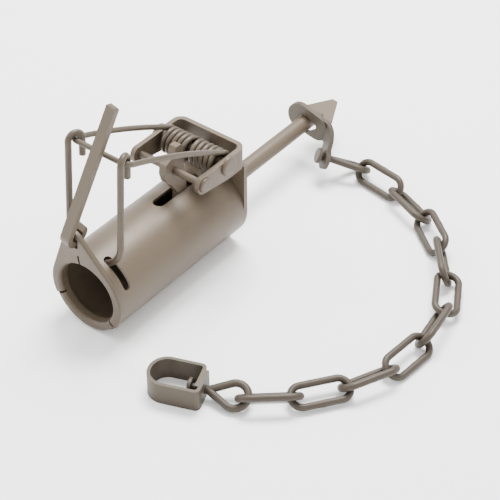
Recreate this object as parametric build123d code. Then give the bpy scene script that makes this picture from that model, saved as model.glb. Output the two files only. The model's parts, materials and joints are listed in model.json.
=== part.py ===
from build123d import *
from math import asin, atan2, cos, degrees, radians, sin, sqrt
import os

# An enclosed tubular foothold trap on a ground stake, with a swivel and its chain.
# Millimetres. The tube's axis is Y: its mouth faces -Y, the stake points +Y, +Z is up.
# The origin is the centre of the paw hole on the front plate's outer face.

# ---------------------------------------------------------------- driving sizes
TUBE_R = 25.4
TUBE_WALL = 1.6
PLATE = 3.0                     # sheet of the front plate and of the rear bracket
TUBE_END = 112.0                # front face of the rear bracket's wall
FLOOR = -TUBE_R

MOUTH_R = 19.4
LIP_DEPTH = 6.0
LIP_WALL = 2.4

BAR_WIRE = 3.9                  # strike bar
SPRING_WIRE = 3.3
LINK_WIRE = 4.2
EYE_WIRE = 4.4                  # swivel eyes at both ends of the chain

AXLE_Y, AXLE_Z, AXLE_R = 97.2, 44.5, 3.2
PIN_Y, PIN_Z, PIN_R = 76.0, 43.2, 2.25

BRACKET_TOP = 48.5
EAR_TIP_R = 5.8
EAR_LOW_REAR = 34.5             # lower edge of the ears where they leave the wall
EAR_INNER_X = TUBE_R - PLATE


# ---------------------------------------------------------------- small helpers
def x_plane(x=0.0):
    """Sketch plane across X: its x is the part's Y and its y is the part's Z."""
    return Plane(origin=(x, 0, 0), x_dir=(0, 1, 0), z_dir=(1, 0, 0))


def y_plane(y=0.0):
    """Sketch plane across Y that extrudes towards +Y: its x is -X and its y is Z."""
    return Plane(origin=(0, y, 0), x_dir=(-1, 0, 0), z_dir=(0, 1, 0))


def rod_x(y, z, radius, x0, x1):
    """Round bar along X."""
    return extrude(x_plane(x0) * Pos(y, z) * Circle(radius), x1 - x0)


def wire_sweep(edges, diameter):
    """Round wire along edges that follow one another."""
    path = Wire(edges)
    section = Plane(origin=path @ 0, z_dir=path % 0) * Circle(diameter / 2)
    return sweep(section, path=path)


def rivet(y, z, shank_r, head_r, head_height):
    """Rivet across both ears: a shank and two low domed heads."""
    body = rod_x(y, z, shank_r, -TUBE_R, TUBE_R)
    for side in (-1, 1):
        plane = Plane(origin=(side * TUBE_R, y, z), z_dir=(side, 0, 0))
        head = extrude(plane * Circle(head_r), head_height)
        rim = head.edges().filter_by(GeomType.CIRCLE).sort_by(Axis.X)[-1 if side > 0 else 0]
        body += fillet(rim, head_height * 0.8)
    return body


# ---------------------------------------------------------------- tube
SLOT_Y, SLOT_W = 10.1, 5.2
SLOT_LOW, SLOT_HIGH = 21.0, 73.5        # degrees above level, at each side
TOP_SLOT_Y, TOP_SLOT_LENGTH, TOP_SLOT_W = 80.0, 37.0, 7.8


def side_slot():
    """Cutter for the slot round the +X side of the tube, with round ends."""
    end_turn = degrees(SLOT_W / 2 / TUBE_R)
    low, high = SLOT_LOW + end_turn, SLOT_HIGH - end_turn
    band = Plane.XY * Pos(TUBE_R, SLOT_Y, 0) * Rectangle(8, SLOT_W)
    cutter = Rot(0, -low, 0) * revolve(band, axis=Axis.Y, revolution_arc=-(high - low))
    for angle in (low, high):
        end_plane = Plane(origin=(0, SLOT_Y, 0), z_dir=(cos(radians(angle)), 0, sin(radians(angle))))
        cutter += extrude(end_plane.offset(TUBE_R - 4) * Circle(SLOT_W / 2), 8)
    return cutter


def body_tube():
    length = TUBE_END - PLATE
    tube = extrude(y_plane(PLATE) * (Circle(TUBE_R) - Circle(TUBE_R - TUBE_WALL)), length)
    slot = side_slot()
    tube -= slot
    tube -= mirror(slot, about=Plane.YZ)
    top_slot = Plane.XY * Pos(0, TOP_SLOT_Y) * SlotOverall(TOP_SLOT_LENGTH, TOP_SLOT_W, rotation=90)
    return tube - extrude(top_slot, TUBE_R + 2)


# ---------------------------------------------------------------- front plate
LUG_X, LUG_Z, LUG_R = -7.3, 34.1, 7.3       # lug that carries the setting lever
EYE_X, EYE_Y, EYE_Z = -6.8, 1.5, 39.6       # centre of the lever's curled eye
HOLE_X, HOLE_W = -7.8, 9.2                  # hole in the lug, below its top bridge
HOLE_LOW, HOLE_HIGH = 30.9, 37.8
SLITS = ((98, 26.5), (205, 24.2), (325, 24.2))      # relief cuts in the rim: angle and outer reach


def front_plate():
    """Ring with a lug above and a lip rolled into the tube; its lower third is a little smaller."""
    ring, lug = Circle(TUBE_R + 0.3), Pos(-LUG_X, LUG_Z) * Circle(LUG_R)
    lower = Polygon((0, 0), (40, -18.7), (40, -45), (-40, -45), (-40, -28), align=None)
    outline = (make_hull(ring.edges() + lug.edges()) - lower) + Circle(TUBE_R - 1.0)
    plate = extrude(y_plane() * outline, PLATE)
    front = plate.faces().sort_by(Axis.Y)[0]
    plate = fillet(front.outer_wire().edges(), 1.2)
    plate += extrude(y_plane(PLATE) * Circle(MOUTH_R + LIP_WALL), LIP_DEPTH - PLATE)
    plate -= extrude(y_plane() * Circle(MOUTH_R), LIP_DEPTH)
    bore = plate.edges().filter_by(GeomType.CIRCLE).filter_by(lambda edge: abs(edge.radius - MOUTH_R) < 0.01)
    plate = fillet(bore.sort_by(Axis.Y)[0], 2.3)
    for angle, reach in SLITS:
        slit = Rot(0, 0, 180 - angle) * Pos(reach - 4, 0) * Rectangle(8.0, 1.3)
        plate -= extrude(y_plane(-1) * slit, PLATE + 1)
    hole = Pos(-HOLE_X, (HOLE_LOW + HOLE_HIGH) / 2) * RectangleRounded(HOLE_W, HOLE_HIGH - HOLE_LOW, 1.5)
    return plate - extrude(y_plane(-1) * hole, PLATE + 2)


# ---------------------------------------------------------------- rear bracket
def rear_bracket():
    """Wall that closes the tube, folded forward at its top into two ears for the pins."""
    rear = TUBE_END + PLATE
    upper = Pos(0, BRACKET_TOP / 2) * Rectangle(2 * TUBE_R, BRACKET_TOP)
    wall = extrude(y_plane(TUBE_END) * (Circle(TUBE_R) + upper), PLATE)
    wall -= Pos(0, rear, EAR_LOW_REAR + 50) * Box(100, 20, 100)

    fold = fillet((Pos(0, rear / 2) * Rectangle(2 * TUBE_R, rear)).vertices().group_by(Axis.Y)[-1], 6.5)
    room = fillet((Pos(0, TUBE_END / 2) * Rectangle(2 * EAR_INNER_X, TUBE_END)).vertices().group_by(Axis.Y)[-1], 3.5)
    band = extrude(Plane.XY * (fold - room), BRACKET_TOP)
    tip = Pos(PIN_Y, PIN_Z) * Circle(EAR_TIP_R)
    arm_length, arm_height = rear - AXLE_Y, BRACKET_TOP - EAR_LOW_REAR
    arm = Pos(rear - arm_length / 2, BRACKET_TOP - arm_height / 2) * Rectangle(arm_length, arm_height)
    side_view = make_hull(tip.edges() + arm.edges())
    bracket = wall + (band & extrude(x_plane(-50) * side_view, 100))
    bracket -= rod_x(AXLE_Y, AXLE_Z, AXLE_R, -50, 50)
    return bracket - rod_x(PIN_Y, PIN_Z, PIN_R, -50, 50)


# ---------------------------------------------------------------- spring and its bail
COIL_Y, COIL_Z, COIL_R = 97.3, 43.2, 6.9
COIL_IN_X, ARM_X = 2.4, 20.0
COIL_START, COIL_END = 41.0, 59.0       # degrees round the coil where its two ends leave it
COIL_TURNS = 5
END_TURN = 290.0                        # degrees of wire in the first and the last turn
BACK_LEG = 9.2                          # straight wire from each coil to the rear wall
CROSSBAR_Y, CROSSBAR_Z = 18.2, 89.4
BAIL_CORNER_R = 5.0


def coil_point(x, angle):
    return Vector(x, COIL_Y + COIL_R * cos(radians(angle)), COIL_Z + COIL_R * sin(radians(angle)))


def coil_arc(x, start, end):
    """Wire lying on the coil's circle between two angles."""
    return ThreePointArc(coil_point(x, start), coil_point(x, (start + end) / 2), coil_point(x, end))


def middle_turns(side):
    """The turns between the hoop's and the bail's, drawn as closed rings at the wire's pitch."""
    turns = []
    for turn in range(1, COIL_TURNS):
        x = side * (COIL_IN_X + (ARM_X - COIL_IN_X) * turn / COIL_TURNS)
        section = Plane(origin=(x, COIL_Y + COIL_R, COIL_Z), z_dir=(0, 0, 1)) * Circle(SPRING_WIRE / 2)
        turns.append(revolve(section, axis=Axis((0, COIL_Y, COIL_Z), (1, 0, 0))))
    return turns


def back_hoop():
    """The U between the coils, which bears on the rear wall, with the first turn at each side."""
    start = coil_point(COIL_IN_X, COIL_START)
    leg_dir = Vector(0, sin(radians(COIL_START)), -cos(radians(COIL_START)))
    leg_end = start + leg_dir * BACK_LEG
    across = Vector(2 * COIL_IN_X, 0, 0)
    bend_mid = leg_end + leg_dir * COIL_IN_X - across / 2
    bend = ThreePointArc(leg_end, bend_mid, leg_end - across)
    first_turn = coil_arc(COIL_IN_X, COIL_START + END_TURN, COIL_START)
    far_turn = coil_arc(-COIL_IN_X, COIL_START, COIL_START + END_TURN)
    legs = [Line(start, leg_end), bend, Line(leg_end - across, start - across)]
    return wire_sweep([first_turn, *legs, far_turn], SPRING_WIRE)


def spring_coils():
    """Two coils and the hoop that joins them."""
    return Compound(children=[*middle_turns(1), *middle_turns(-1), back_hoop()])


def spring_bail():
    """Free end of the spring: the last turns, two slightly bowed arms and the crossbar between them."""
    foot = coil_point(ARM_X, COIL_END)
    chord = atan2(CROSSBAR_Z - foot.Z, foot.Y - CROSSBAR_Y)
    leave = radians(90 - COIL_END)
    arrive = 2 * chord - leave
    arrive_dir = Vector(0, -cos(arrive), sin(arrive))
    corner_start = Vector(ARM_X, CROSSBAR_Y, CROSSBAR_Z) - arrive_dir * BAIL_CORNER_R
    arm = TangentArc(foot, corner_start, tangent=(0, -cos(leave), sin(leave)))
    corner_centre = corner_start - Vector(BAIL_CORNER_R, 0, 0)
    corner_mid = corner_centre + (Vector(1, 0, 0) + arrive_dir) * (BAIL_CORNER_R / sqrt(2))
    corner_end = corner_centre + arrive_dir * BAIL_CORNER_R
    corner = ThreePointArc(corner_start, corner_mid, corner_end)
    bar = Line(corner_end, Vector(0, corner_end.Y, corner_end.Z))
    last_turn = coil_arc(ARM_X, COIL_END - END_TURN, COIL_END)
    half = wire_sweep([last_turn, arm, corner, bar], SPRING_WIRE)
    return half + mirror(half, about=Plane.YZ)


# ---------------------------------------------------------------- strike bar
BAR_Y, BAR_LOW_Z, BAR_LEAN = 9.9, 19.7, 4.0         # lower straight, and degrees of lean
LEG_X, BAR_CORNER_R = 18.8, 16.8
HOOK_R, HOOK_Z = 4.4, 89.2
HOOKS = ((-1, 17.0, 77.7), (1, 17.0, 77.0))         # side, degrees turned inward, height of the tail's end


def strike_bar():
    """Wire U that shuts the mouth, hung from the crossbar by two open hooks."""
    up = Vector(0, sin(radians(BAR_LEAN)), cos(radians(BAR_LEAN)))
    back = Vector(0, cos(radians(BAR_LEAN)), -sin(radians(BAR_LEAN)))
    base = Vector(0, BAR_Y, BAR_LOW_Z)
    leg_length = (HOOK_Z - BAR_LOW_Z) / cos(radians(BAR_LEAN))
    bar = None
    for side, turn, tail_z in HOOKS:
        across = Vector(side, 0, 0)
        inner = across * (LEG_X - BAR_CORNER_R)
        bottom = Line(base, base + inner)
        centre = base + inner + up * BAR_CORNER_R
        corner_mid = centre + (across - up) * (BAR_CORNER_R / sqrt(2))
        leg_start = centre + across * BAR_CORNER_R
        corner = ThreePointArc(base + inner, corner_mid, leg_start)
        leg_end = base + across * LEG_X + up * leg_length
        hook_dir = back * cos(radians(turn)) - across * sin(radians(turn))
        hook_top = leg_end + hook_dir * HOOK_R + up * HOOK_R
        hook_end = leg_end + hook_dir * (2 * HOOK_R)
        hook = ThreePointArc(leg_end, hook_top, hook_end)
        tail = Line(hook_end, hook_end - up * (hook_end.Z - tail_z))
        half = wire_sweep([bottom, corner, Line(leg_start, leg_end), hook, tail], BAR_WIRE)
        bar = half if bar is None else bar + half
    return bar


# ---------------------------------------------------------------- setting lever and trigger
LEVER_W, LEVER_T = 6.4, 3.7
LEVER_LENGTH = 86.7                     # eye centre to the far end
LEVER_LEAN, LEVER_SKEW = 16.8, 11.6      # degrees back from upright, and towards +X
CURL_R, CURL_GAP = 3.7, 40.0            # inner radius, and degrees left open


def lever_plane():
    """Plane of the lever's side profile: x points forward, y along the lever."""
    lean, skew = radians(LEVER_LEAN), radians(LEVER_SKEW)
    along = Vector(sin(skew), cos(skew) * sin(lean), cos(skew) * cos(lean))
    forward = Vector(0, -cos(lean), sin(lean))
    side = forward.cross(along)
    return Plane(origin=(EYE_X, EYE_Y, EYE_Z), x_dir=forward, z_dir=side)


def setting_lever():
    """Flat bar with one end curled into the eye that hangs in the lug."""
    outer_r = CURL_R + LEVER_T
    curl = Circle(outer_r) - Circle(CURL_R)
    opening = Polygon(
        (0, 0),
        (40, 0),
        (40, 40),
        (0, 40),
        (40 * cos(radians(90 + CURL_GAP)), 40 * sin(radians(90 + CURL_GAP))),
        align=None,
    )
    shaft = Pos(CURL_R + LEVER_T / 2, LEVER_LENGTH / 2) * Rectangle(LEVER_T, LEVER_LENGTH)
    profile = (curl - opening) + shaft
    lever = extrude(lever_plane().offset(-LEVER_W / 2) * profile, LEVER_W)
    end = lever.faces().sort_by(Axis.Z)[-1]
    return chamfer(end.edges(), 0.8)


TRIGGER_X0, TRIGGER_T = -1.6, 4.8


def trigger():
    """Flat trigger on its pin: a notched head above, a long pull leg down into the tube."""
    head = Polyline(
        (78.0, 58.5),
        (82.5, 58.0),
        (84.5, 51.5),
        (84.5, 41.0),
        (86.0, 30.0),
        (86.5, 8.0),
        (84.0, -2.5),
        (72.0, -4.5),
        (66.0, -1.5),
        (66.6, 1.2),
        (77.5, 1.6),
        (79.0, 25.0),
        (73.5, 33.5),
        (69.3, 38.0),
        (67.7, 44.0),
        (68.8, 50.5),
        (76.0, 53.5),
        (76.5, 56.0),
        close=True,
    )
    plate = extrude(x_plane(TRIGGER_X0) * make_face(head.edges()), TRIGGER_T)
    return plate - rod_x(PIN_Y, PIN_Z, PIN_R + 0.05, -10, 10)


# ---------------------------------------------------------------- stake and swivel strap
STAKE_R, STAKE_Z = 5.1, 1.2
STAKE_ROUND_END, POINT_Y = 211.0, 239.5
POINT_T, POINT_TILT = 3.0, 8.0


def stake_rod():
    return extrude(y_plane(TUBE_END + PLATE) * Pos(0, STAKE_Z) * Circle(STAKE_R), STAKE_ROUND_END - TUBE_END - PLATE)


def stake_point():
    """Forged end: the round bar flattens into an arrow head with two barbs."""
    round_end = y_plane(STAKE_ROUND_END) * Pos(0, STAKE_Z) * Circle(STAKE_R)
    flat_end = y_plane(STAKE_ROUND_END + 8) * Pos(0, STAKE_Z) * Rot(0, 0, -POINT_TILT) * RectangleRounded(10.6, POINT_T, 1.2)
    neck = loft([round_end, flat_end])
    outline = Polygon(
        (-5.3, 218.9),
        (-9.6, 217.8),
        (-10.4, 222.6),
        (-2.0, POINT_Y),
        (2.0, POINT_Y),
        (10.4, 222.6),
        (9.6, 217.8),
        (5.3, 218.9),
        align=None,
    )
    head = extrude(Plane.XY.offset(-POINT_T / 2) * outline, POINT_T)
    return neck + Pos(0, 0, STAKE_Z) * Rot(0, POINT_TILT, 0) * head


STRAP_T, STRAP_Y = 3.0, 207.0
LEG_HOLE = Vector(24.1, 195.8, -9.0)            # where the eye's stem passes the strap
LEG_DIR = Vector(0.35, -0.70, -0.62).normalized()
STEM_DIR = Vector(0.69, 0.62, -0.39).normalized()
STEM_HOLE_R = 2.6


def swivel_strap():
    """Bent strap: a slotted lobe turns on the stake, the folded leg carries the chain's swivel eye."""
    lobe = make_hull((Pos(2.9, 4.4) * Circle(9.8)).edges() + (Pos(-9.0, 1.4) * Circle(9.0)).edges())
    lobe -= make_hull((Pos(-0.4, 0.9) * Circle(6.0)).edges() + (Pos(-6.6, 1.4) * Circle(2.6)).edges())
    lobe_plate = extrude(y_plane(STRAP_Y - STRAP_T / 2) * lobe, STRAP_T)
    stem = (STEM_DIR - LEG_DIR * STEM_DIR.dot(LEG_DIR)).normalized()
    bend_sections = []
    bend_start = Vector(13.0, STRAP_Y, 1.4)
    sections = (
        (bend_start, Vector(1, 0, 0), Vector(0, 1, 0), 15.5),
        (Vector(17.6, STRAP_Y - 0.3, 0.2), Vector(0.93, -0.25, -0.25), Vector(0.2, 0.97, -0.1), 14.0),
        (Vector(20.6, STRAP_Y - 3.4, -2.2), Vector(0.62, -0.60, -0.48), Vector(0.55, 0.80, -0.25), 12.6),
        (LEG_HOLE - LEG_DIR * 6.5, LEG_DIR, stem, 13.0),
        (LEG_HOLE + LEG_DIR * 1.0, LEG_DIR, stem, 13.0),
    )
    for origin, along, thick, width in sections:
        plane = Plane(origin=origin, x_dir=thick - along * thick.dot(along), z_dir=along)
        bend_sections.append(plane * RectangleRounded(STRAP_T, width, 0.6))
    leg = loft(bend_sections)
    face = Plane(origin=LEG_HOLE - stem * (STRAP_T / 2), x_dir=LEG_DIR, z_dir=stem)
    leg += extrude(face * Pos(1.0, 0) * Circle(6.5), STRAP_T)
    strap = lobe_plate + leg
    hole = extrude(face.offset(-5) * Circle(STEM_HOLE_R), STRAP_T + 10)
    return strap - hole


# ---------------------------------------------------------------- swivel eyes
STEM_R, HEAD_R, HEAD_T = 2.2, 5.0, 2.4
EYE_SIDE = Vector(0.73, -0.54, 0.42)
SWIVEL_REACH = 22.3


def eye(hole, stem, side, neck, centre_distance, loop_r, head_at):
    """Wire eye on a headed stem. The stem runs through the hole; the loop lies in the plane of stem and side."""
    side = (side - stem * side.dot(stem)).normalized()
    wire_r = EYE_WIRE / 2
    neck_point = hole + stem * neck
    centre = hole + stem * centre_distance
    reach = centre_distance - neck
    spread = asin(loop_r / reach)
    body = Pos(*neck_point) * Sphere(wire_r)
    for sign in (-1, 1):
        out = side * sign
        radial = out * cos(spread) - stem * sin(spread)
        touch = centre + radial * loop_r
        middle = (radial + stem).normalized()
        arc = ThreePointArc(touch, centre + middle * loop_r, centre + stem * loop_r)
        body += wire_sweep([Line(neck_point, touch), arc], EYE_WIRE)
    head_plane = Plane(origin=hole - stem * head_at, z_dir=stem)
    body += extrude(head_plane * Circle(STEM_R), head_at + neck)
    head = extrude(head_plane.offset(-HEAD_T) * Circle(HEAD_R), HEAD_T)
    return body + chamfer(head.edges().filter_by(GeomType.CIRCLE), 0.5)


def swivel_eye():
    """Eye that joins the chain to the strap on the stake."""
    return eye(LEG_HOLE, STEM_DIR, EYE_SIDE, 4.6, SWIVEL_REACH, 6.6, 3.4)


def end_eye():
    """Eye that joins the chain to the end swivel."""
    return eye(END_HOLE, END_DIR, END_EYE_SIDE, 3.4, 18.8, 7.4, 5.4)


# ---------------------------------------------------------------- chain
LINK_LENGTH, LINK_WIDTH = 38.2, 17.3
LINK_BEND_R = (LINK_WIDTH - LINK_WIRE) / 2
LINK_HALF_STRAIGHT = (LINK_LENGTH - LINK_WIRE) / 2 - LINK_BEND_R

# Centre x and y, height above resting on the floor, heading and roll in degrees, from the stake on.
LINK_POSES = (
    (58.0, 207.1, 0.5, -8.4, 54.5),
    (86.0, 199.6, 0.1, -22.5, -36.1),
    (111.3, 185.0, 0.3, -37.4, 44.7),
    (132.1, 165.3, 0.0, -49.7, -67.9),
    (149.5, 143.8, 3.3, -60.1, -13.7),
    (158.6, 116.2, 0.1, -80.1, -125.0),
    (160.4, 87.3, 0.2, -94.0, -32.6),
    (153.6, 59.4, 0.2, -113.9, 38.8),
    (139.2, 34.3, 1.5, -125.8, -21.1),
    (119.8, 13.9, 0.2, -138.9, 41.7),
)


def link_place(x, y, lift, heading, roll):
    """Where a link lies: its lower side rests on the floor, or is lifted by its neighbours."""
    z = FLOOR + LINK_WIRE / 2 + LINK_BEND_R * abs(sin(radians(roll))) + lift
    return Pos(x, y, z) * Rot(0, 0, heading) * Rot(roll, 0, 0)


def chain_link(place):
    """Straight link of round wire: two rods and two half rings."""
    link = None
    for sign in (-1, 1):
        rod = Plane(origin=(-LINK_HALF_STRAIGHT, sign * LINK_BEND_R, 0), z_dir=(1, 0, 0)) * Circle(LINK_WIRE / 2)
        rod = extrude(rod, 2 * LINK_HALF_STRAIGHT)
        section = Plane(origin=(sign * LINK_HALF_STRAIGHT, -sign * LINK_BEND_R, 0), z_dir=(sign, 0, 0))
        ring = revolve(section * Circle(LINK_WIRE / 2),
                       axis=Axis((sign * LINK_HALF_STRAIGHT, 0, 0), (0, 0, 1)), revolution_arc=180)
        link = rod + ring if link is None else link + rod + ring
    return place * link


# ---------------------------------------------------------------- end swivel
END_HEADING = 21.0
END_DIR = Vector(cos(radians(END_HEADING)), sin(radians(END_HEADING)), 0)
END_HOLE = Vector(86.7, -3.2, -19.1)    # middle of the hole, inside the doubled wall
END_EYE_SIDE = Vector(-sin(radians(END_HEADING)), cos(radians(END_HEADING)), 0.45)
BOX_LENGTH, BOX_WIDTH, BOX_HEIGHT, BOX_WALL = 33.0, 23.0, 14.0, 2.0
LAP_FRONT, LAP_BACK = -6.5, 7.0         # where the inner and the outer layer of the doubled wall end


def d_ring(flat_x):
    """Section of the bent strap with the outside of its flat end at x = flat_x."""
    half = BOX_WIDTH / 2
    round_x = BOX_WALL - BOX_LENGTH
    outline = Pos((flat_x + round_x) / 2, 0) * Rectangle(flat_x - round_x, BOX_WIDTH)
    outline = fillet(outline.vertices().group_by(Axis.X)[0], half - 0.6)
    outline = fillet(outline.vertices().group_by(Axis.X)[-1], 3.4)
    return outline - offset(outline, -BOX_WALL)


def end_swivel():
    """Strap bent into a D-shaped box; its two ends overlap where the eye's stem passes."""
    front_corner = Pos(0, LAP_FRONT - 20) * Rectangle(16, 40)
    lap = Pos(0, LAP_BACK - 20) * Rectangle(16, 40)
    section = (d_ring(0) - front_corner) + (d_ring(BOX_WALL) & lap)
    box = extrude(Plane.XY.offset(FLOOR - END_HOLE.Z) * section, BOX_HEIGHT)
    box -= extrude(Plane(origin=(-10, 0, 0), z_dir=(1, 0, 0)) * Circle(STEM_HOLE_R), 20)
    return Pos(*END_HOLE) * Rot(0, 0, END_HEADING) * box


# ---------------------------------------------------------------- export
def build_parts():
    parts = {
        "body_tube": body_tube(),
        "front_plate": front_plate(),
        "rear_bracket": rear_bracket(),
        "spring_axle": rivet(AXLE_Y, AXLE_Z, AXLE_R, 6.0, 2.2),
        "trigger_pin": rivet(PIN_Y, PIN_Z, PIN_R, 4.6, 1.6),
        "spring_coils": spring_coils(),
        "spring_bail": spring_bail(),
        "strike_bar": strike_bar(),
        "setting_lever": setting_lever(),
        "trigger": trigger(),
        "stake_rod": stake_rod(),
        "stake_point": stake_point(),
        "swivel_strap": swivel_strap(),
        "swivel_eye": swivel_eye(),
        "end_eye": end_eye(),
        "end_swivel": end_swivel(),
    }
    for number, pose in enumerate(LINK_POSES, start=1):
        parts[f"chain_link_{number:02d}"] = chain_link(link_place(*pose))
    return parts


os.makedirs("parts", exist_ok=True)
for name, shape in build_parts().items():
    shape.label = name
    export_step(shape, f"parts/{name}.step")
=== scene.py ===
import bpy
import bmesh
import json
from math import atan2, cos, pi, radians, sin
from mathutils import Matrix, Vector


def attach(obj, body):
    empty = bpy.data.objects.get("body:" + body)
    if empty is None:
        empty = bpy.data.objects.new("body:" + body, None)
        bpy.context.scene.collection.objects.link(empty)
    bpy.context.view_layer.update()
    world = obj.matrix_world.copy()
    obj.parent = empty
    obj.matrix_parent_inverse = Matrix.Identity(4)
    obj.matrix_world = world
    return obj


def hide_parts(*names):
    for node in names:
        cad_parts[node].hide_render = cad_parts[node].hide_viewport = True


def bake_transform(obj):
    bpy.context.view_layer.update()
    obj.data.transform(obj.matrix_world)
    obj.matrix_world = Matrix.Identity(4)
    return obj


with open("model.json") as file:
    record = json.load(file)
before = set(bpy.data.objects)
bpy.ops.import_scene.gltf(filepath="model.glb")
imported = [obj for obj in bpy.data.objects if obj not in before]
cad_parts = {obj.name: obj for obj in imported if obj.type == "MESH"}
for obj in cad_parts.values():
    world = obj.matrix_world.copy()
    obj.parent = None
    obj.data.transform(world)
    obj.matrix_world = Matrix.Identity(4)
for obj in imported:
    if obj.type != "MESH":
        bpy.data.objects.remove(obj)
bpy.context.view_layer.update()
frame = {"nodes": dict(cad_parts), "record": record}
MM = 0.001
NODES = frame["nodes"]

# ---------------------------------------------------------------- sizes, in millimetres
FLOOR_Z = -25.4
COIL_Y, COIL_Z, COIL_R = 97.3, 43.2, 6.9
COIL_IN_X, ARM_X = 2.4, 20.0
COIL_START, COIL_END = 41.0, 59.0
COIL_TURNS = 5 + (COIL_END - COIL_START) / 360
SPRING_WIRE = 3.3
BACK_LEG = 9.2                          # straight wire from each coil to the rear wall
CROSSBAR_Y, CROSSBAR_Z, BAIL_CORNER_R = 18.2, 89.4, 5.0
LINK_LENGTH, LINK_WIDTH, LINK_WIRE = 38.2, 17.3, 4.2
LINK_BEND_R = (LINK_WIDTH - LINK_WIRE) / 2
LINK_HALF_STRAIGHT = (LINK_LENGTH - LINK_WIRE) / 2 - LINK_BEND_R
WELD_HALF, WELD_EDGE = 1.0, 2.0         # half lengths of the weld's bead and of its shoulders
WELD_RISE, SHOULDER_RISE, WIRE_EASE = 0.12, 0.04, -0.01

# Centre x and y, height above resting on the floor, heading and roll in degrees, from the stake on.
LINK_POSES = (
    (58.0, 207.1, 0.5, -8.4, 54.5),
    (86.0, 199.6, 0.1, -22.5, -36.1),
    (111.3, 185.0, 0.3, -37.4, 44.7),
    (132.1, 165.3, 0.0, -49.7, -67.9),
    (149.5, 143.8, 3.3, -60.1, -13.7),
    (158.6, 116.2, 0.1, -80.1, -125.0),
    (160.4, 87.3, 0.2, -94.0, -32.6),
    (153.6, 59.4, 0.2, -113.9, 38.8),
    (139.2, 34.3, 1.5, -125.8, -21.1),
    (119.8, 13.9, 0.2, -138.9, 41.7),
)


# ---------------------------------------------------------------- materials
def new_material(name):
    material = bpy.data.materials.new(name)
    material.use_nodes = True
    return material, material.node_tree


def add_node(tree, kind, **inputs):
    node = tree.nodes.new(kind)
    for key, value in inputs.items():
        node.inputs[key.replace("_", " ")].default_value = value
    return node


def object_noise(tree, scale, detail=3.0, rough=0.55):
    """Noise in the object's own space, so that it stays on a part as the part moves."""
    coordinates = tree.nodes.new("ShaderNodeTexCoord")
    texture = add_node(tree, "ShaderNodeTexNoise", Scale=scale, Detail=detail, Roughness=rough)
    tree.links.new(coordinates.outputs["Object"], texture.inputs["Vector"])
    return texture


def ramp(tree, source, low, high, dark, light):
    """Colour ramp between two positions of a grey source."""
    node = tree.nodes.new("ShaderNodeValToRGB")
    node.color_ramp.elements[0].position = low
    node.color_ramp.elements[0].color = dark
    node.color_ramp.elements[1].position = high
    node.color_ramp.elements[1].color = light
    tree.links.new(source, node.inputs["Fac"])
    return node


def powder_coat(name, base, roughness=0.46, orange_peel=0.12, wear=0.5, painted_crease_shade=0.35):
    """Satin powder coat: fine orange peel, slow colour drift, painted shade darkening the colour in creases
    and recesses from ambient occlusion, and edges rubbed paler.
    """
    material, tree = new_material(name)
    shader = tree.nodes["Principled BSDF"]
    shader.inputs["Metallic"].default_value = 0.15
    shader.inputs["Specular IOR Level"].default_value = 0.38

    def tone(k):
        return tuple(min(1.0, c * k) for c in base) + (1.0,)

    drift = ramp(tree, object_noise(tree, 38.0, 4.0).outputs["Fac"], 0.32, 0.68, tone(0.90), tone(1.07))
    speckle = ramp(tree, object_noise(tree, 1500.0, 2.0).outputs["Fac"], 0.30, 0.72, tone(0.84), tone(1.12))
    coat = tree.nodes.new("ShaderNodeMix")
    coat.data_type = "RGBA"
    coat.inputs["Factor"].default_value = 0.35
    tree.links.new(drift.outputs["Color"], coat.inputs["A"])
    tree.links.new(speckle.outputs["Color"], coat.inputs["B"])

    geometry = tree.nodes.new("ShaderNodeNewGeometry")
    edges = ramp(tree, geometry.outputs["Pointiness"], 0.505, 0.56, (0, 0, 0, 1), (wear, wear, wear, 1))
    rubbed = tree.nodes.new("ShaderNodeMix")
    rubbed.data_type = "RGBA"
    tree.links.new(edges.outputs["Color"], rubbed.inputs["Factor"])
    tree.links.new(coat.outputs["Result"], rubbed.inputs["A"])
    rubbed.inputs["B"].default_value = tone(1.35)

    # Painted shade: ambient occlusion darkens the coat's colour in creases, recesses and between parts, where
    # shade falls.
    occlusion = add_node(tree, "ShaderNodeAmbientOcclusion", Distance=0.006)
    occlusion.samples = 8
    painted_crease_darkening = ramp(tree, occlusion.outputs["AO"], 0.25, 0.85, (1 - painted_crease_shade, 1 - painted_crease_shade, 1 - painted_crease_shade, 1), (1, 1, 1, 1))
    final = tree.nodes.new("ShaderNodeMix")
    final.data_type = "RGBA"
    final.blend_type = "MULTIPLY"
    final.inputs["Factor"].default_value = 1.0
    tree.links.new(rubbed.outputs["Result"], final.inputs["A"])
    tree.links.new(painted_crease_darkening.outputs["Color"], final.inputs["B"])
    tree.links.new(final.outputs["Result"], shader.inputs["Base Color"])

    gloss = tree.nodes.new("ShaderNodeMapRange")
    gloss.inputs["To Min"].default_value = roughness - 0.07
    gloss.inputs["To Max"].default_value = roughness + 0.09
    tree.links.new(object_noise(tree, 90.0, 5.0).outputs["Fac"], gloss.inputs["Value"])
    tree.links.new(gloss.outputs["Result"], shader.inputs["Roughness"])

    bump = add_node(tree, "ShaderNodeBump", Strength=orange_peel, Distance=0.0004)
    tree.links.new(object_noise(tree, 900.0, 2.0).outputs["Fac"], bump.inputs["Height"])
    tree.links.new(bump.outputs["Normal"], shader.inputs["Normal"])
    return material


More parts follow.
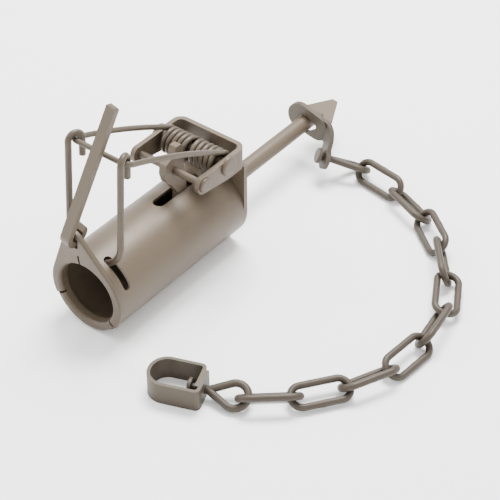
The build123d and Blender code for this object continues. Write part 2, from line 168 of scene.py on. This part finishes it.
TAUPE = (0.084, 0.063, 0.042)
MATERIALS = {
    "tube_paint": powder_coat("tube_coat", TAUPE, 0.44, 0.10),
    "plate_paint": powder_coat("plate_coat", TAUPE, 0.46, 0.12),
    "bracket_paint": powder_coat("bracket_coat", TAUPE, 0.46, 0.12),
    "bar_paint": powder_coat("bar_coat", (0.068, 0.051, 0.034), 0.42, 0.10),
    "spring_paint": powder_coat("spring_coat", (0.068, 0.051, 0.034), 0.42, 0.10),
    "lever_paint": powder_coat("lever_coat", (0.086, 0.066, 0.045), 0.47, 0.14),
    "trigger_paint": powder_coat("trigger_coat", TAUPE, 0.48, 0.14),
    "stake_paint": powder_coat("stake_coat", TAUPE, 0.48, 0.16),
    # grime below sets the strength of the painted shade in creases and between parts.
    "strap_paint": powder_coat("strap_coat", (0.056, 0.043, 0.029), 0.50, 0.18, painted_crease_shade=0.45),
    "eye_paint": powder_coat("eye_coat", (0.048, 0.037, 0.025), 0.50, 0.18, painted_crease_shade=0.45),
    "chain_paint": powder_coat("chain_coat", (0.044, 0.033, 0.022), 0.48, 0.18, painted_crease_shade=0.5),
    "rivet_steel": powder_coat("rivet_coat", TAUPE, 0.42, 0.12, wear=0.7),
}
SLOT_OF = {entry["node"]: entry["material_slot"] for entry in frame["record"]["subparts"]}


def finish_nodes():
    """Gives every CAD node its coat."""
    for name, node in NODES.items():
        node.data.materials.clear()
        node.data.materials.append(MATERIALS[SLOT_OF[name]])


# ---------------------------------------------------------------- mesh helpers
def wire_mesh(name, points, radii, closed=False, sides=20):
    """Round wire through points in millimetres, with a radius at each point."""
    count = len(points)
    tangents = []
    for i in range(count):
        before = points[i - 1] if closed or i > 0 else points[i]
        after = points[(i + 1) % count] if closed or i < count - 1 else points[i]
        tangents.append((after - before).normalized())
    normal = tangents[0].orthogonal().normalized()
    frames = []
    for tangent in tangents:
        normal = (normal - tangent * normal.dot(tangent)).normalized()
        frames.append((normal.copy(), tangent.cross(normal)))
    mesh = bmesh.new()
    rings = []
    for point, radius, (u, v) in zip(points, radii, frames):
        turn = [2 * pi * k / sides for k in range(sides)]
        rings.append([mesh.verts.new((point + (u * cos(a) + v * sin(a)) * radius) * MM) for a in turn])
    shift = 0
    if closed:
        first = rings[0]
        shift = min(range(sides), key=lambda k: (rings[-1][0].co - first[k].co).length)
    for i in range(count if closed else count - 1):
        a, b = rings[i], rings[(i + 1) % count]
        offset = shift if closed and i == count - 1 else 0
        for k in range(sides):
            mesh.faces.new((a[k], a[(k + 1) % sides], b[(k + 1 + offset) % sides], b[(k + offset) % sides]))
    if not closed:
        mesh.faces.new(list(reversed(rings[0])))
        mesh.faces.new(rings[-1])
    return mesh_object(name, mesh)


def mesh_object(name, mesh):
    data = bpy.data.meshes.new(name)
    bmesh.ops.recalc_face_normals(mesh, faces=mesh.faces[:])
    mesh.to_mesh(data)
    mesh.free()
    data.shade_smooth()
    piece = bpy.data.objects.new(name, data)
    bpy.context.scene.collection.objects.link(piece)
    return piece


def dress(piece, slot):
    piece.data.materials.append(MATERIALS[slot])
    return piece


def arc_points(centre, start_dir, end_dir, radius, count):
    """Points on a quarter arc from centre + start_dir to centre + end_dir."""
    steps = [pi / 2 * i / (count - 1) for i in range(count)]
    return [centre + (start_dir * cos(a) + end_dir * sin(a)) * radius for a in steps]


# ---------------------------------------------------------------- spring
def coil_point(x, angle):
    return Vector((x, COIL_Y + COIL_R * cos(radians(angle)), COIL_Z + COIL_R * sin(radians(angle))))


def mirrored(points):
    return [Vector((-p.x, p.y, p.z)) for p in points]


def spring_coil(name, side):
    """Half of the spring: from the middle of the rear hoop round the coil to the bail's foot."""
    start = coil_point(COIL_IN_X, COIL_START)
    leg = Vector((0, sin(radians(COIL_START)), -cos(radians(COIL_START))))
    leg_end = start + leg * BACK_LEG
    hoop_centre = leg_end - Vector((COIL_IN_X, 0, 0))
    points = arc_points(hoop_centre, leg, Vector((1, 0, 0)), COIL_IN_X, 8)
    points += [leg_end.lerp(start, i / 6) for i in range(1, 6)]
    steps = 300
    for i in range(steps + 1):
        f = i / steps
        angle = COIL_START + 360 * COIL_TURNS * f
        points.append(coil_point(COIL_IN_X + (ARM_X - COIL_IN_X) * f, angle))
    if side < 0:
        points = mirrored(points)
    piece = wire_mesh(name, points, [SPRING_WIRE / 2] * len(points))
    return dress(piece, "spring_paint")


def bail_points():
    """Half of the bail, from its foot at the coil to the middle of the crossbar."""
    foot = coil_point(ARM_X, COIL_END)
    chord = atan2(CROSSBAR_Z - foot.z, foot.y - CROSSBAR_Y)
    leave = radians(90 - COIL_END)
    arrive = 2 * chord - leave
    along = Vector((0, -cos(arrive), sin(arrive)))
    corner_start = Vector((ARM_X, CROSSBAR_Y, CROSSBAR_Z)) - along * BAIL_CORNER_R
    run = (corner_start - foot).length
    points = []
    steps = 40
    for i in range(steps + 1):
        f = i / steps
        angle = leave + (arrive - leave) * f / 2
        points.append(foot + Vector((0, -cos(angle), sin(angle))) * run * f)
    corner_centre = corner_start - Vector((BAIL_CORNER_R, 0, 0))
    points += arc_points(corner_centre, Vector((1, 0, 0)), along, BAIL_CORNER_R, 12)[1:]
    points += [Vector((x, CROSSBAR_Y, CROSSBAR_Z)) for x in (10, 5, 0)]
    return points


def build_spring():
    bail_half = bail_points()
    path = bail_half + list(reversed(mirrored(bail_half)))[1:]
    bail = dress(wire_mesh("bail_wire", path, [SPRING_WIRE / 2] * len(path)), "spring_paint")
    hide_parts("spring_bail")
    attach(bail, "bail")
    for name, side in (("coil_right", 1), ("coil_left", -1)):
        coil = spring_coil(name, side)
        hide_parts("spring_coils")
        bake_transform(coil)


# ---------------------------------------------------------------- chain
def link_points():
    """A link's centreline, the weld in the middle of one side first."""
    points = [Vector((x, LINK_BEND_R, 0)) for x in (0, -1.5, -3, -5, -8)]
    for i in range(25):
        a = pi / 2 + pi * i / 24
        points.append(Vector((-LINK_HALF_STRAIGHT + LINK_BEND_R * cos(a), LINK_BEND_R * sin(a), 0)))
    points += [Vector((x, -LINK_BEND_R, 0)) for x in (-7, -3.5, 0, 3.5, 7)]
    for i in range(25):
        a = -pi / 2 + pi * i / 24
        points.append(Vector((LINK_HALF_STRAIGHT + LINK_BEND_R * cos(a), LINK_BEND_R * sin(a), 0)))
    return points + [Vector((x, LINK_BEND_R, 0)) for x in (8, 5, 3, 1.5)]


def link_radius(point):
    """Wire radius at a point of the link's centreline, a little larger at the weld."""
    on_weld_side = point.y > LINK_BEND_R - 0.01
    if on_weld_side and abs(point.x) < WELD_HALF:
        return LINK_WIRE / 2 + WELD_RISE
    if on_weld_side and abs(point.x) < WELD_EDGE:
        return LINK_WIRE / 2 + SHOULDER_RISE
    return LINK_WIRE / 2 + WIRE_EASE


def place_point(point, centre, heading, roll):
    """Rolls a point of the link about its length, then turns it to its heading."""
    rolled = Vector((point.x, point.y * cos(roll), point.y * sin(roll)))
    turned_x = rolled.x * cos(heading) - rolled.y * sin(heading)
    turned_y = rolled.x * sin(heading) + rolled.y * cos(heading)
    return Vector((turned_x, turned_y, rolled.z)) + centre


def build_chain():
    """Welded links: each has a low bead where its wire was joined."""
    local = link_points()
    for number, (x, y, lift, heading, roll) in enumerate(LINK_POSES, start=1):
        z = FLOOR_Z + LINK_WIRE / 2 + LINK_BEND_R * abs(sin(radians(roll))) + lift
        centre = Vector((x, y, z))
        radii = [link_radius(p) for p in local]
        placed = [place_point(p, centre, radians(heading), radians(roll)) for p in local]
        wire = wire_mesh(f"link_wire_{number:02d}", placed, radii, closed=True, sides=24)
        link = dress(wire, "chain_paint")
        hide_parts(f"chain_link_{number:02d}")
        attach(link, f"chain_link_{number:02d}")


# ---------------------------------------------------------------- studio
CAMERA_PLACE = (0.5266, -0.5232, 0.6526)
CAMERA_TARGET = (0.06296, 0.06958, 0.01903)
FLOOR_HALF = 3.0


def studio_floor():
    mesh = bmesh.new()
    corners = [(-FLOOR_HALF, -FLOOR_HALF), (FLOOR_HALF, -FLOOR_HALF),
               (FLOOR_HALF, FLOOR_HALF), (-FLOOR_HALF, FLOOR_HALF)]
    mesh.faces.new([mesh.verts.new((x, y, FLOOR_Z * MM)) for x, y in corners])
    floor = mesh_object("studio_floor", mesh)
    material, tree = new_material("studio_paper")
    shader = tree.nodes["Principled BSDF"]
    shader.inputs["Base Color"].default_value = (0.95, 0.95, 0.945, 1)
    shader.inputs["Roughness"].default_value = 0.55
    floor.data.materials.append(material)


def area_light(name, place, target, size, power):
    data = bpy.data.lights.new(name, "AREA")
    data.shape = "RECTANGLE"
    data.size, data.size_y = size
    data.energy = power
    lamp = bpy.data.objects.new(name, data)
    lamp.location = place
    lamp.rotation_euler = (Vector(target) - Vector(place)).to_track_quat("-Z", "Y").to_euler()
    bpy.context.scene.collection.objects.link(lamp)


def studio_light():
    world = bpy.data.worlds.new("studio")
    world.use_nodes = True
    world.node_tree.nodes["Background"].inputs["Color"].default_value = (1, 1, 1, 1)
    world.node_tree.nodes["Background"].inputs["Strength"].default_value = 1.6
    bpy.context.scene.world = world
    middle = (0.06, 0.09, 0.02)
    area_light("top_softbox", (-0.15, 0.55, 1.15), middle, (0.7, 0.5), 44)
    area_light("left_softbox", (-0.95, -0.25, 0.75), middle, (0.6, 0.8), 11)
    area_light("right_fill", (1.1, -0.1, 0.6), middle, (0.8, 0.8), 3)


def studio_camera():
    data = bpy.data.cameras.new("camera")
    data.lens = 126
    data.sensor_width = 36
    camera = bpy.data.objects.new("camera", data)
    camera.location = CAMERA_PLACE
    camera.rotation_euler = (Vector(CAMERA_TARGET) - camera.location).to_track_quat("-Z", "Y").to_euler()
    bpy.context.scene.collection.objects.link(camera)
    bpy.context.scene.camera = camera


studio_camera()
studio_light()
studio_floor()
finish_nodes()
build_spring()
build_chain()
